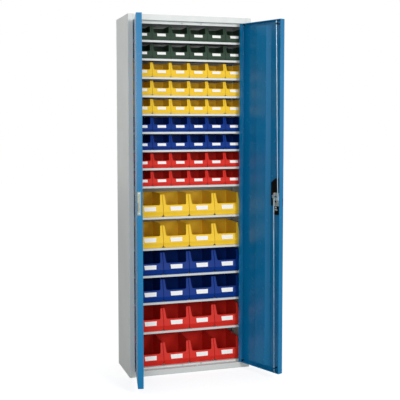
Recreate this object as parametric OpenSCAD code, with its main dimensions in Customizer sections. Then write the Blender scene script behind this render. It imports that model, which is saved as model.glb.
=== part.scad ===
// Parts bin cabinet: a sheet steel cabinet with two doors, filled with open-fronted plastic bins.
// Millimetres. +Z is up, the front faces -Y, and +X is to the right seen from the front.
// The origin is the centre of the carcass footprint, on the floor.
// The doors stand open, and every other moving piece is at its place of rest.

/* [Carcass] */
// Width of the carcass
cabinet_w = 700; // [700:10:760]
// Depth of the carcass
cabinet_d = 300; // [300:10:400]
// Height of the carcass
cabinet_h = 1980; // [1980:10:2100]
// Width of each front post
post_w = 28; // [28:1:34]
// Height of the header over the doors
header_h = 31; // [31:1:40]
// Height of the plinth under the doors
plinth_h = 31; // [29:1:31]

/* [Doors] */
// Angle at which the left door stands open
left_open = 101; // [0:0.5:115]
// Angle at which the right door stands open
right_open = 112.5; // [0:0.5:115]
// Thickness of a door
door_t = 30; // [24:0.5:30]

/* [Shelves] */
// Thickness of a shelf tray
shelf_t = 12; // [12:0.5:16]
// Heights of the bays for large bins, from the cabinet floor upwards
large_bays = [196, 164, 152, 152, 173, 172];
// Height of each bay for small bins
small_bay = 99.5; // [97:0.5:100]
// Number of rows of small bins
small_rows = 9; // [9:1:9]

/* [Bins] */
// Width, depth and height of a small bin
small_bin = [105, 165, 80];
// Width, depth and height of a large bin
large_bin = [149, 234, 122];
// Distance between the middles of two small bins
small_step = 105.5; // [105.5:0.1:106]
// Distance between the middles of two large bins
large_step = 150.3; // [150:0.1:152]
// How far the rows of bins stand to the right of the middle
bin_shift = 4; // [0:0.5:4]

/* [Lock] */
// Height of the handle spindle above the floor
lock_z = 986; // [950:2:1000]
// Distance from the spindle to the free edge of the door
lock_in = 38; // [37:0.5:38.5]
// Radius on which the rod pins stand on the cam
cam_pin_ring = 22; // [21:0.5:22]
// Diameter of the locking rods
rod_d = 6; // [6:0.5:8]

/* [Hidden] */
$fn = 48;
sheet = 1;
eps = 0.01;

grey = "#C9CDCB";
blue = "#0B5A94";
zinc = "#AEB6BA";
black = "#1B1C1E";
rubber = "#BEC2C0";
bin_paint = [["red", "#E8382F"], ["blue", "#0A2F8F"], ["yellow", "#FFD230"], ["green", "#2F4A3A"]];

// Carcass
half_w = cabinet_w / 2;
half_d = cabinet_d / 2;
front = -half_d;
jamb_x = half_w - post_w;
post_d = door_t + 1;
stop_y = front + door_t + 3;
stop_drop = 15;
header_z = cabinet_h - header_h;
floor_top = plinth_h + 11;
base_flange_w = 40;
rear_flange_w = 20;

// Doors: u runs from the hinge edge to the free edge, v from the outer face inwards
jamb_gap = 3;
middle_gap = 3;
door_w = jamb_x - jamb_gap - middle_gap / 2;
door_z0 = plinth_h + 4;
door_z1 = header_z - 2;
hinge_lip = 24;
end_lip = 12;
pivot_u = 8;
pivot_v = 6;
pivot_x = jamb_x - jamb_gap - pivot_u;
pivot_y = front + pivot_v;
pin_r = 3;
pin_play = 0.05;
pin_head_r = 4.8;
pin_depth = 11;
bush_r = 4.8;
bush_collar_r = 5.8;
buffer_r = 4.5;
buffer_t = 2.8;

// Door stiffener: an upright wall, a flat crown and a sloped flank
stiff_u0 = 118;
stiff_u1 = 194;
stiff_u2 = 221;
stiff_h = 14;
stiff_foot = 10;
stiff_end = 20;

// Lock, in the door's own u, v and z
lock_u = door_w - lock_in;
guide_u = door_w - 42;
cam_pin = cam_pin_ring * cos(45);
cam_r = 26;
cam_v = [12.5, 15];
spindle_r = 5;
spindle_play = 0.05;
tongue_v = [4, 6.5];
tongue_l = 46;
tongue_w = 12;
slot_v = [3.4, 7.1];
slot_z = [lock_z - 34, lock_z + 10];
case_z = [lock_z - 85, lock_z + 115];
case_v = 11;
case_u = [lock_u - 46, lock_u + 29];
case_low_u = lock_u - 29;
lock_plate_z = [lock_z - 36, lock_z + 36];
cylinder_z = lock_z - 56;
cylinder_r = 6;
rod_v = 19.5;
rod_r = rod_d / 2;
rod_play = 0.05;
rod_tip_top = door_z1 - 2;
rod_tip_bottom = door_z0 + 2;
rod_hole_r = rod_r + 4;
eye_v = [16, 21.5];
eye_h = 18;
eye_play = 1.3;
rod_pin_r = 3;
handle_l = 100;
handle_v = [-29, -17];
handle_r = 9;
hub_r = 12;
plate_r = 17;

// Shelves and rails
shelf_x = half_w - 14;
shelf_y = [front + door_t + 5, half_d - 20];
shelf_hem = 11;
rail_x = half_w - 13;
rail_w = 25;
rail_ys = [shelf_y[0] + 5, half_d - 45];
clip_w = 10;
clip_t = 2;
rows = len(large_bays) + small_rows;

// Bins
bin_y = shelf_y[0] + 1.5;
bin_lift = 0.1;
bin_wall = 2.2;
row_paint = [0, 0, 1, 1, 2, 2, 0, 0, 1, 1, 2, 2, 2, 3, 3];

function bay(i) = i < len(large_bays) ? large_bays[i] : small_bay;
function shelf_top(i) = i == 0 ? floor_top : shelf_top(i - 1) + bay(i - 1);
function is_large(i) = i < len(large_bays);
function bins_across(i) = is_large(i) ? 4 : 6;
function two_digits(i) = str(i < 10 ? "0" : "", i);
function shelf_name(i) = str("shelf_", two_digits(i));
function row_name(i) = str("bins_", two_digits(i + 1), "_", bin_paint[row_paint[i]][0]);

// A box between two opposite corners
module block(low, high) {
    translate(low) cube(high - low);
}

// A cylinder between two heights, given in either order
module tube(r, z_a, z_b) {
    translate([0, 0, min(z_a, z_b)]) cylinder(r = r, h = abs(z_b - z_a));
}

// Both ends of the cabinet
module both_sides() {
    children();
    mirror([1, 0, 0]) children();
}

// ---- Carcass ----

// A side wall with the folded front post and the rear flange, as one bent sheet
module side_sheet() {
    color(grey) linear_extrude(height = cabinet_h - sheet) {
        translate([half_w - sheet, -half_d]) square([sheet, cabinet_d]);
        translate([jamb_x, front]) square([post_w, sheet]);
        translate([jamb_x, front]) square([sheet, post_d]);
        translate([jamb_x, front + post_d - sheet]) square([post_w - 2 * sheet, sheet]);
        translate([half_w - rear_flange_w, half_d - sheet]) square([rear_flange_w, sheet]);
    }
}

module right_side() {
    side_sheet();
}

module left_side() {
    mirror([1, 0, 0]) side_sheet();
}

module back_panel() {
    color(grey) block([sheet - half_w, half_d - 2 * sheet, sheet],
        [half_w - sheet, half_d - sheet, cabinet_h - sheet]);
}

// The holes that the pivot pins and one locking rod pass through
module pivot_and_rod_holes(z) {
    both_sides() translate([pivot_x, pivot_y, z - 2]) cylinder(r = pin_r + 0.1, h = 5);
    translate([jamb_x - jamb_gap - guide_u, front + rod_v, z - 2]) cylinder(r = rod_hole_r, h = 5);
}

// Roof sheet, header and the lip that the doors close against
module roof() {
    color(grey) difference() {
        union() {
            block([-half_w, -half_d, cabinet_h - sheet], [half_w, half_d, cabinet_h]);
            block([-jamb_x, front, header_z], [jamb_x, front + sheet, cabinet_h - sheet]);
            block([-jamb_x, front, header_z], [jamb_x, stop_y + sheet, header_z + sheet]);
            block([-jamb_x, stop_y, header_z - stop_drop], [jamb_x, stop_y + sheet, header_z + sheet]);
        }
        pivot_and_rod_holes(header_z);
    }
}

// Plinth, ledge, stop lip, cabinet floor and the flange that the cabinet stands on
module base() {
    color(grey) difference() {
        union() {
            block([-jamb_x, front, 0], [jamb_x, front + sheet, plinth_h]);
            block([-jamb_x, front, plinth_h - sheet], [jamb_x, stop_y + sheet, plinth_h]);
            block([-jamb_x, stop_y, plinth_h - sheet], [jamb_x, stop_y + sheet, floor_top]);
            block([sheet - half_w, stop_y, floor_top - sheet],
                [half_w - sheet, half_d - 2 * sheet, floor_top]);
            linear_extrude(height = sheet) base_flange();
        }
        pivot_and_rod_holes(plinth_h - sheet);
    }
}

module base_flange() {
    difference() {
        translate([sheet - half_w, sheet - half_d]) square([cabinet_w - 2 * sheet, cabinet_d - 3 * sheet]);
        square([cabinet_w - 2 * base_flange_w, cabinet_d - 2 * base_flange_w], center = true);
        for (side = [-1, 1]) translate([side * (jamb_x + post_w / 2), front + post_d / 2])
            square([post_w, post_d], center = true);
    }
}

// Four slotted channels on the side walls carry the shelves
module shelf_rails() {
    color(zinc) both_sides() for (y = rail_ys) difference() {
        translate([rail_x, y, floor_top])
            linear_extrude(height = header_z - stop_drop - floor_top) rail_section();
        for (i = [1:rows - 1]) translate([rail_x - 1, y + rail_w / 2, shelf_top(i) - shelf_t])
            block([0, -clip_w / 2 - 0.5, -clip_t - 0.4], [3, clip_w / 2 + 0.5, 0.4]);
    }
}

module rail_section() {
    square([sheet, rail_w]);
    square([half_w - sheet - rail_x, sheet]);
    translate([0, rail_w - sheet]) square([half_w - sheet - rail_x, sheet]);
}

// A clip hooks into a rail slot and carries one corner of a shelf
module shelf_clips() {
    color(zinc) both_sides() for (y = rail_ys, i = [1:rows - 1])
        translate([rail_x, y + rail_w / 2, shelf_top(i) - shelf_t]) shelf_clip();
}

module shelf_clip() {
    block([-16, -clip_w / 2, -clip_t], [5, clip_w / 2, 0]);
    block([-2.2, -clip_w / 2, -11], [-0.2, clip_w / 2, 0]);
    block([3, -clip_w / 2, -7], [5, clip_w / 2, 0]);
}

// Pins in the roof and the base on which the doors turn
module hinge_pins() {
    color(zinc) both_sides() translate([pivot_x, pivot_y, 0]) {
        tube(pin_r, door_z1 - pin_depth, header_z + sheet + 1);
        tube(pin_head_r, header_z + sheet, header_z + sheet + 2);
        tube(pin_r, plinth_h - sheet - 1, door_z0 + pin_depth);
        tube(pin_head_r, plinth_h - sheet - 2, plinth_h - sheet);
    }
}

// Rubber pads that stop the doors quietly
module door_buffers() {
    buffer_zs = [plinth_h + 5.5, header_z - stop_drop / 2];
    color(rubber) for (x = [-40, 70], z = buffer_zs) translate([x, stop_y - buffer_t, z])
        rotate([-90, 0, 0]) cylinder(r = buffer_r, h = buffer_t);
}

// ---- Shelves ----

// A tray with its edges folded down and a hem turned in at the front and the back
module shelf(i) {
    color(grey) translate([0, 0, shelf_top(i) - shelf_t]) {
        difference() {
            block([-shelf_x, shelf_y[0], 0], [shelf_x, shelf_y[1], shelf_t]);
            block([sheet - shelf_x, shelf_y[0] + sheet, -eps],
                [shelf_x - sheet, shelf_y[1] - sheet, shelf_t - sheet]);
        }
        for (y = [shelf_y[0], shelf_y[1] - shelf_hem])
            block([-shelf_x, y, 0], [shelf_x, y + shelf_hem, sheet]);
    }
}

// ---- Bins ----

// One open-fronted bin, its middle at x = 0, its front at y = 0 and its underside at z = 0.
// The low front is folded: it leans in below the fold and leans back above it, up to the lip.
module bin(size, large) {
    w = size[0];
    d = size[1];
    h = size[2];
    t = bin_wall;
    fold_z = large ? 28 : 17;
    lip_z = large ? 64 : 39;
    lip_y = large ? 9 : 6;
    toe_y = large ? 8 : 5;
    top_y = large ? 30 : 20;
    chamfer_x = large ? 8 : 5;
    chamfer_z = large ? 10 : 6;
    post_low = large ? 15 : 9;
    post_high = large ? 11 : 7;
    fillet = large ? 11 : 8;
    outer = [[toe_y, 0], [d, 0], [d, h], [top_y, h], [lip_y, lip_z], [0, fold_z]];
    inner = [[toe_y + t, t], [d - t, t], [d - t, h + 1], [top_y + t, h + 1], [lip_y + t, lip_z],
        [t, fold_z]];
    difference() {
        bin_body(outer, w / 2, 0, h, chamfer_x, chamfer_z);
        bin_body(inner, w / 2 - t, t, h + 1, chamfer_x, chamfer_z);
        translate([0, top_y + t + eps, 0]) rotate([90, 0, 0]) linear_extrude(height = top_y + t + 1)
            polygon([[post_low + fillet - w / 2, lip_z], [w / 2 - post_low - fillet, lip_z],
                [w / 2 - post_low, lip_z + fillet], [w / 2 - post_high, h + 1],
                [post_high - w / 2, h + 1], [post_low - w / 2, lip_z + fillet]]);
    }
}

// A side outline carried across the width, cut to a front outline with chamfered lower corners
module bin_body(side_outline, half, low, high, chamfer_x, chamfer_z) {
    deep = side_outline[1][0];
    intersection() {
        translate([-half, 0, 0]) rotate([90, 0, 90]) linear_extrude(height = 2 * half) polygon(side_outline);
        translate([0, deep + 1, 0]) rotate([90, 0, 0]) linear_extrude(height = deep + 2)
            polygon([[chamfer_x - half, low], [half - chamfer_x, low], [half, low + chamfer_z], [half, high],
                [-half, high], [-half, low + chamfer_z]]);
    }
}

// The bins of row i that stand at the given places, counted from the left
module bins_at(i, places) {
    large = is_large(i);
    step = large ? large_step : small_step;
    color(bin_paint[row_paint[i]][1]) for (k = places)
        translate([(k - (bins_across(i) - 1) / 2) * step + bin_shift, bin_y, shelf_top(i) + bin_lift])
            bin(large ? large_bin : small_bin, large);
}

// The bins of a row that pass between the open doors
module inner_bins(i) {
    bins_at(i, [1:bins_across(i) - 2]);
}

// The first and the last bin of every row of one colour
module end_bins(paint) {
    for (i = [0:rows - 1]) if (row_paint[i] == paint) bins_at(i, [0, bins_across(i) - 1]);
}

// ---- Doors ----

// Turns a door's own u, v and z into its place on the left
module on_left_door() {
    translate([-pivot_x, pivot_y, 0]) rotate([0, 0, -left_open])
        translate([-pivot_u, -pivot_v, 0]) children();
}

// The same on the right
module on_right_door() {
    mirror([1, 0, 0]) translate([-pivot_x, pivot_y, 0]) rotate([0, 0, -right_open])
        translate([-pivot_u, -pivot_v, 0]) children();
}

// A folded pan, open towards the inside of the cabinet, with bores for the two pivot bushes
module door_pan() {
    difference() {
        union() {
            block([0, 0, door_z0], [door_w, sheet, door_z1]);
            block([0, 0, door_z0], [sheet, door_t, door_z1]);
            block([0, door_t - sheet, door_z0], [hinge_lip, door_t, door_z1]);
            block([door_w - sheet, 0, door_z0], [door_w, door_t, door_z1]);
            for (z = [door_z0, door_z1 - sheet]) block([0, 0, z], [door_w, door_t, z + sheet]);
            for (z = [door_z0, door_z1 - end_lip])
                block([0, door_t - sheet, z], [door_w, door_t, z + end_lip]);
        }
        for (z = [door_z0 - 1, door_z1 - 2]) translate([pivot_u, pivot_v, z]) cylinder(r = bush_r, h = 3);
        block([door_w - 2, slot_v[0], slot_z[0]], [door_w + 1, slot_v[1], slot_z[1]]);
    }
}

module left_door_panel() {
    color(blue) on_left_door() door_pan();
}

// The right door also has holes for the spindle, the lock cylinder and the two rods
module right_door_panel() {
    color(blue) on_right_door() difference() {
        door_pan();
        through_door(lock_u, -1, lock_z) cylinder(r = spindle_r + 2, h = 3);
        through_door(lock_u, -1, cylinder_z) cylinder(r = cylinder_r + 0.5, h = 3);
        for (z = [door_z0 - 1, door_z1 - 2]) translate([guide_u, rod_v, z]) cylinder(r = rod_r + 0.4, h = 3);
    }
}

// Points what is drawn along z inwards through the door, from the place u, v and z
module through_door(u, v, z) {
    translate([u, v, z]) rotate([-90, 0, 0]) children();
}

module stiffener() {
    lift = stiff_h - sheet;
    translate([0, 0, door_z0 + stiff_end])
        linear_extrude(height = door_z1 - door_z0 - 2 * stiff_end) polygon([
            [stiff_u0 - stiff_foot, sheet], [stiff_u0, sheet], [stiff_u0, lift],
            [stiff_u1 - 0.4, lift], [stiff_u2 - 0.4, sheet], [stiff_u2 + stiff_foot, sheet],
            [stiff_u2 + stiff_foot, 2 * sheet], [stiff_u2, 2 * sheet], [stiff_u1, stiff_h],
            [stiff_u0 - sheet, stiff_h], [stiff_u0 - sheet, 2 * sheet],
            [stiff_u0 - stiff_foot, 2 * sheet]]);
}

module left_door_stiffener() {
    color(blue) on_left_door() stiffener();
}

module right_door_stiffener() {
    color(blue) on_right_door() stiffener();
}

// Plastic bushes for the pivot pins, pressed into the top and the bottom of a door
module bushes() {
    ends = [[door_z0 + 10, door_z0, plinth_h + 0.1], [door_z1 - 10, door_z1, header_z - 0.2]];
    color(black) for (end = ends) translate([pivot_u, pivot_v, 0]) difference() {
        union() {
            tube(bush_r, end[0], end[1]);
            tube(bush_collar_r, end[1], end[2]);
        }
        tube(pin_r + pin_play, end[0] - sign(end[1] - end[0]), end[2] + sign(end[1] - end[0]));
    }
}

module left_door_bushes() {
    on_left_door() bushes();
}

module right_door_bushes() {
    on_right_door() bushes();
}

// Plate round the slot in the left door that the cam's tongue enters
module strike_plate() {
    color(zinc) on_left_door() difference() {
        block([door_w, slot_v[0] - 1, lock_z - 53], [door_w + 0.8, 20, lock_z + 66]);
        block([door_w - 1, slot_v[0], slot_z[0]], [door_w + 2, slot_v[1], slot_z[1]]);
    }
}

// ---- Lock, inside the right door ----

// Black housing on the door skin, hollow where the tongue swings and bored for spindle and cylinder
module lock_case() {
    color(black) on_right_door() difference() {
        translate([0, case_v, 0]) rotate([90, 0, 0]) linear_extrude(height = case_v - sheet) polygon([
            [case_low_u, case_z[0]], [case_u[1], case_z[0]], [case_u[1], case_z[1]],
            [case_u[0] + 34, case_z[1]], [case_u[0], case_z[1] - 24], [case_u[0], lock_plate_z[0]],
            [case_low_u, lock_plate_z[0]]]);
        block([lock_u - 12, 0, lock_z - tongue_l - 2], [case_u[1] + 1, tongue_v[1] + 1, slot_z[1] + 2]);
        through_door(lock_u, 0, lock_z) cylinder(r = spindle_r + spindle_play, h = case_v + 1);
        through_door(lock_u, 0, cylinder_z) cylinder(r = cylinder_r + spindle_play, h = case_v + 1);
    }
}

// Zinc plate over the middle of the housing, behind the cam
module lock_plate() {
    color(zinc) on_right_door() difference() {
        block([lock_u - 27, case_v, lock_plate_z[0]], [lock_u + 27, case_v + sheet, lock_plate_z[1]]);
        through_door(lock_u, case_v - 1, lock_z) cylinder(r = spindle_r + spindle_play, h = 3);
    }
}

// Plate on the outside of the door, round the lever and the lock cylinder
module handle_plate() {
    color(black) on_right_door() difference() {
        union() {
            for (z = [cylinder_z, lock_z]) through_door(lock_u, -3, z) cylinder(r = plate_r, h = 3);
            block([lock_u - plate_r, -3, cylinder_z], [lock_u + plate_r, 0, lock_z]);
        }
        through_door(lock_u, -4, lock_z) cylinder(r = spindle_r + spindle_play, h = 5);
        through_door(lock_u, -4, cylinder_z) cylinder(r = cylinder_r + spindle_play, h = 5);
    }
}

// Lever on the spindle, level while the rods are drawn in and pointing down when they are out
module handle_lever() {
    color(black) on_right_door() difference() {
        union() {
            through_door(lock_u, handle_v[0], lock_z) cylinder(r = hub_r, h = -3.2 - handle_v[0]);
            through_door(lock_u - handle_l, handle_v[0], lock_z)
                cylinder(r = handle_r, h = handle_v[1] - handle_v[0]);
            block([lock_u - handle_l, handle_v[0], lock_z - handle_r],
                [lock_u, handle_v[1], lock_z + handle_r]);
        }
        through_door(lock_u, handle_v[0] + 6, lock_z) cylinder(r = spindle_r, h = 40);
    }
}

// Spindle, tongue and cam in one piece, with a headed pin for each rod
module lock_cam() {
    color(zinc) on_right_door() {
        through_door(lock_u, handle_v[0] + 6, lock_z)
            cylinder(r = spindle_r, h = cam_v[1] - handle_v[0] - 6);
        through_door(lock_u, tongue_v[0], lock_z) cylinder(r = 9, h = tongue_v[1] - tongue_v[0]);
        block([lock_u - tongue_w / 2, tongue_v[0], lock_z - tongue_l],
            [lock_u + tongue_w / 2, tongue_v[1], lock_z]);
        through_door(lock_u, cam_v[0], lock_z) cylinder(r = cam_r, h = cam_v[1] - cam_v[0]);
        for (side = [-1, 1]) {
            through_door(lock_u + side * cam_pin, cam_v[1], lock_z - side * cam_pin)
                cylinder(r = rod_pin_r, h = 7);
            through_door(lock_u + side * cam_pin, eye_v[1] + 0.2, lock_z - side * cam_pin)
                cylinder(r = rod_pin_r + 1.6, h = 1.5);
        }
    }
}

// Plug that the key turns, with a dog on its inner end
module lock_cylinder() {
    color(zinc) on_right_door() difference() {
        union() {
            through_door(lock_u, -6, cylinder_z) cylinder(r = cylinder_r, h = 20);
            block([lock_u - 14, case_v + 0.1, cylinder_z - 4], [lock_u, case_v + 2, cylinder_z + 4]);
        }
        block([lock_u - 0.7, -7, cylinder_z - 4], [lock_u + 0.7, -2, cylinder_z + 4]);
    }
}

// ---- Locking rods ----

// Draws along z what lies on the line from the cam pin to the rod guide near one end of the door.
// way is 1 for the upper rod and -1 for the lower one.
module on_rod_line(way) {
    start = [lock_u + way * cam_pin, rod_v, lock_z - way * cam_pin];
    tip_z = way > 0 ? rod_tip_top : rod_tip_bottom;
    lean = atan((guide_u - start[0]) / abs(tip_z - start[2]));
    translate(start) rotate([0, way * lean, 0]) children();
}

function rod_length(way) = norm([guide_u - lock_u - way * cam_pin,
    (way > 0 ? rod_tip_top : rod_tip_bottom) - lock_z + way * cam_pin]);

// A round rod with a flat end whose cross slot lets the cam pin move sideways
module locking_rod(way) {
    eye_u = lock_u + way * cam_pin;
    eye_z = lock_z - way * cam_pin;
    reach = cam_pin_ring - cam_pin + rod_pin_r + eye_play;
    near = rod_pin_r + eye_play;
    color(zinc) on_right_door() {
        difference() {
            translate([eye_u, 0, eye_z]) span_box(-way * (near + 2.5), way * (reach + 2), eye_v, eye_h / 2);
            translate([eye_u, 0, eye_z])
                span_box(-way * near, way * reach, [eye_v[0] - 1, eye_v[1] + 1], rod_pin_r + eye_play);
        }
        on_rod_line(way) tube(rod_r, way * (eye_h / 2 - 0.5), way * rod_length(way));
    }
}

// A box from u_a to u_b, given in either order, through v = vs, and as high above z = 0 as below
module span_box(u_a, u_b, vs, half) {
    block([min(u_a, u_b), vs[0], -half], [max(u_a, u_b), vs[1], half]);
}

module upper_rod() {
    locking_rod(1);
}

module lower_rod() {
    locking_rod(-1);
}

// Blocks on the door skin, bored along the rods
module rod_guides() {
    color(black) on_right_door() for (way = [-1, 1]) {
        z = way > 0 ? door_z1 - 30 : door_z0 + 16;
        difference() {
            block([guide_u - 11, sheet, z], [guide_u + 11, door_t - sheet - 0.1, z + 14]);
            on_rod_line(way) tube(rod_r + rod_play, 0, way * (rod_length(way) + 5));
        }
    }
}

// ---- The whole cabinet ----

left_side();
right_side();
back_panel();
roof();
base();
shelf_rails();
shelf_clips();
hinge_pins();
door_buffers();
for (i = [1:rows - 1]) shelf(i);
for (p = [0:3]) end_bins(p);
for (i = [0:rows - 1]) inner_bins(i);
left_door_panel();
left_door_stiffener();
left_door_bushes();
strike_plate();
right_door_panel();
right_door_stiffener();
right_door_bushes();
lock_case();
lock_plate();
rod_guides();
handle_plate();
handle_lever();
lock_cam();
lock_cylinder();
upper_rod();
lower_rod();
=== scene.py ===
# %% [markdown]
# # A parts bin cabinet
# The object is a tall cabinet of folded sheet steel. Its two doors stand open, and it holds 78
# open-fronted bins on shelves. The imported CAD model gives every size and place. Blender adds what
# a solid model leaves out: bend radii, rims, label cards, screws, and the look of each material.

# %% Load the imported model
import math

import bmesh
import bpy
import numpy as np
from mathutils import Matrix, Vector


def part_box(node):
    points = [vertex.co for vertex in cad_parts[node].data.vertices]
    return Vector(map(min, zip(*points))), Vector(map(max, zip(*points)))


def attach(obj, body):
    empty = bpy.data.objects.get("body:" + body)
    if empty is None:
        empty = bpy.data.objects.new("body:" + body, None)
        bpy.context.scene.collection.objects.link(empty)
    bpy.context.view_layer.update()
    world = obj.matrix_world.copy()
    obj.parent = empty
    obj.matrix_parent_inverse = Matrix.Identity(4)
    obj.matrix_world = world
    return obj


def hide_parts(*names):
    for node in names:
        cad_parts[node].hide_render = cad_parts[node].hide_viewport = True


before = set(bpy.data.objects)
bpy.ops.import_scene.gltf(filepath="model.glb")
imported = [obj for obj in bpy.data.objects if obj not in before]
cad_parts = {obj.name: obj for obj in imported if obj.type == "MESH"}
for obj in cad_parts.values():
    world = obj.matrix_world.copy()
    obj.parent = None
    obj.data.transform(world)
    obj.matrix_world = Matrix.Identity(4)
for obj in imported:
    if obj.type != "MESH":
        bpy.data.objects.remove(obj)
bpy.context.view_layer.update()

# %% [markdown]
# ## The camera
# The photograph was taken from the left of the cabinet, a little above the middle of its height,
# with a long lens. The place and the lens were fitted to the corners of the carcass and the doors.
# A camera looks along its own -Z, so a turn about X raises its view from straight down to level.
# The photograph's own camera stood level with a large shift. Here a small tilt takes over most of
# that shift.

# %% Camera
MM = 0.001
FRAME_PIXELS, LENS_PIXELS, SHIFT_PIXELS = 400, 811.16, 20
SENSOR = 36.0
TILT_DOWN, TURN_RIGHT = 0.0720, 0.3084

camera_data = bpy.data.cameras.new("camera")
camera_data.sensor_width = SENSOR
camera_data.lens = LENS_PIXELS / FRAME_PIXELS * SENSOR
camera_data.shift_y = -SHIFT_PIXELS / FRAME_PIXELS
camera_data.clip_start = 0.1
camera_data.clip_end = 60
camera = bpy.data.objects.new("camera", camera_data)
camera.location = (-1.3092, -4.4264, 1.4060)
camera.rotation_euler = (math.pi / 2 - TILT_DOWN, 0, -TURN_RIGHT)
bpy.context.scene.collection.objects.link(camera)
bpy.context.scene.camera = camera
print("lens in millimetres:", round(camera_data.lens, 1))

# %% [markdown]
# ## Helpers for materials
# Colours are written as sRGB hex values, the way a paint chart gives them. Blender's shaders
# calculate with linear light, so one function converts them. A second function adds a node, sets
# its values and makes its links, which keeps every material below readable.

# %% Colour and node helpers
def linear(code):
    """Turns a hex colour into linear red, green, blue and alpha.

    Each sRGB channel is divided by 12.92 where it is dark, and elsewhere raised to the power 2.4.
    """
    channels = np.array([int(code[k:k + 2], 16) for k in (1, 3, 5)]) / 255
    bright = ((channels + 0.055) / 1.055) ** 2.4
    return (*np.where(channels <= 0.04045, channels / 12.92, bright), 1.0)


def add_node(tree, kind, settings=None, inputs=None):
    """Adds a node. A value in inputs that is a socket is linked, and any other value is set.

    An input is given by its name, or by its number where several share one name.
    """
    node = tree.nodes.new(kind)
    for name, value in (settings or {}).items():
        setattr(node, name, value)
    for name, value in (inputs or {}).items():
        if isinstance(value, bpy.types.NodeSocket):
            tree.links.new(value, node.inputs[name])
        else:
            node.inputs[name].default_value = value
    return node


def new_material(name):
    """An empty material, its node tree and the socket of its Object coordinates in metres."""
    material = bpy.data.materials.new(name)
    material.use_nodes = True
    tree = material.node_tree
    tree.nodes.clear()
    place = add_node(tree, "ShaderNodeTexCoord").outputs["Object"]
    return material, tree, place


def noise(tree, place, size_mm, detail=2.0):
    """Noise whose blotches are about size_mm across. A scale of 1 gives blotches 1 m apart."""
    inputs = {"Vector": place, "Scale": 1 / (size_mm * MM), "Detail": detail}
    return add_node(tree, "ShaderNodeTexNoise", inputs=inputs).outputs["Fac"]


def spread(tree, value, low, high):
    """Maps the middle of a noise, 0.3 to 0.7, to the range from low to high."""
    inputs = {"Value": value, "From Min": 0.3, "From Max": 0.7, "To Min": low, "To Max": high}
    return add_node(tree, "ShaderNodeMapRange", inputs=inputs).outputs["Result"]


def tint(tree, value, dark, light):
    """A colour between two hex colours, chosen by a noise.

    A Mix node has sockets for every kind of data. Those of colours are inputs 6 and 7 and output 2.
    """
    part = spread(tree, value, 0.0, 1.0)
    mix = add_node(tree, "ShaderNodeMix", {"data_type": "RGBA"},
                   {0: part, 6: linear(dark), 7: linear(light)})
    return mix.outputs[2]


def bump(tree, height, depth_mm, strength=1.0):
    """Turns a height between 0 and 1 into relief depth_mm deep."""
    inputs = {"Height": height, "Distance": depth_mm * MM, "Strength": strength}
    return add_node(tree, "ShaderNodeBump", inputs=inputs).outputs["Normal"]


def close_material(tree, **inputs):
    """Adds the Principled shader and the output. A double underscore stands for a space."""
    named = {name.replace("__", " "): value for name, value in inputs.items()}
    shader = add_node(tree, "ShaderNodeBsdfPrincipled", inputs=named)
    add_node(tree, "ShaderNodeOutputMaterial", inputs={"Surface": shader.outputs["BSDF"]})

# %% [markdown]
# ## Materials
# Powder-coated steel is a baked polyester film: glossy enough to mirror lamps softly, with the
# fine ripple that painters call orange peel. Its ripples are 1 to 2 mm across and far too fine to
# show from four metres, so they are drawn 3 mm across. The shade drifts very slightly over a
# panel, because no film is equally thick everywhere. This studio is white all round and would lie
# over the dark colours as a veil, so the specular level is a little below the usual 0.5.

# %% Powder-coated steel
def powder_coat(name, dark, light, roughness, specular):
    """A polyester powder coat on sheet steel, between two shades of one colour."""
    material, tree, place = new_material(name)
    drift = noise(tree, place, 260, 3.0)
    peel = noise(tree, place, 3.0, 1.0)
    close_material(
        tree, Base__Color=tint(tree, drift, dark, light), IOR=1.5, Specular__IOR__Level=specular,
        Roughness=spread(tree, noise(tree, place, 40), roughness - 0.03, roughness + 0.04),
        Normal=bump(tree, peel, 0.008))
    return material


grey_coat = powder_coat("powder_coated_steel_light_grey", "#CED2CF", "#D4D8D5", 0.38, 0.4)
blue_coat = powder_coat("powder_coated_steel_blue", "#066E9F", "#0976A9", 0.24, 0.4)
print("powder coats:", grey_coat.name, blue_coat.name)

# %% [markdown]
# Polypropylene bins come out of the mould with a satin, slightly waxy face. The grain etched into
# the mould is about 0.3 mm, drawn here at 1 mm. Where the plastic flowed the shade varies a
# little, so each colour is again a pair of near neighbours.

# %% Moulded polypropylene
def polypropylene(name, dark, light):
    """Injection-moulded polypropylene: satin, with a fine grain and faint flow marks."""
    material, tree, place = new_material(name)
    flow = noise(tree, place, 60, 3.0)
    grain = noise(tree, place, 1.0, 0.0)
    close_material(
        tree, Base__Color=tint(tree, flow, dark, light), IOR=1.49, Specular__IOR__Level=0.12,
        Roughness=spread(tree, flow, 0.42, 0.50), Normal=bump(tree, grain, 0.03))
    return material


bin_plastic = {
    "red": polypropylene("polypropylene_red", "#D42A20", "#DC3227"),
    "blue": polypropylene("polypropylene_blue", "#042F7E", "#063588"),
    "yellow": polypropylene("polypropylene_yellow", "#F4C732", "#F8CD3C"),
    "green": polypropylene("polypropylene_green", "#354638", "#3B4E40"),
}
print("plastics:", sorted(bin_plastic))

# %% [markdown]
# Zinc is left bare in four forms. Plated rods and the die-cast lock are a bright, slightly cloudy
# satin, and the strike plate has the duller olive film that passivation leaves. Galvanised strip,
# on the shelf rails, shows spangle: zinc crystals about 8 mm across that each mirror the light a
# little differently, which Voronoi cells imitate.

# %% Plated, cast and galvanised zinc
def zinc_plated(name, dark, light, cloud_mm, roughness):
    """Plated, passivated or cast zinc: metallic, with soft clouds of shade and gloss."""
    material, tree, place = new_material(name)
    cloud = noise(tree, place, cloud_mm, 4.0)
    close_material(
        tree, Base__Color=tint(tree, cloud, dark, light), Metallic=1.0,
        Roughness=spread(tree, cloud, roughness - 0.06, roughness + 0.08),
        Normal=bump(tree, noise(tree, place, 1.5), 0.02))
    return material


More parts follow.
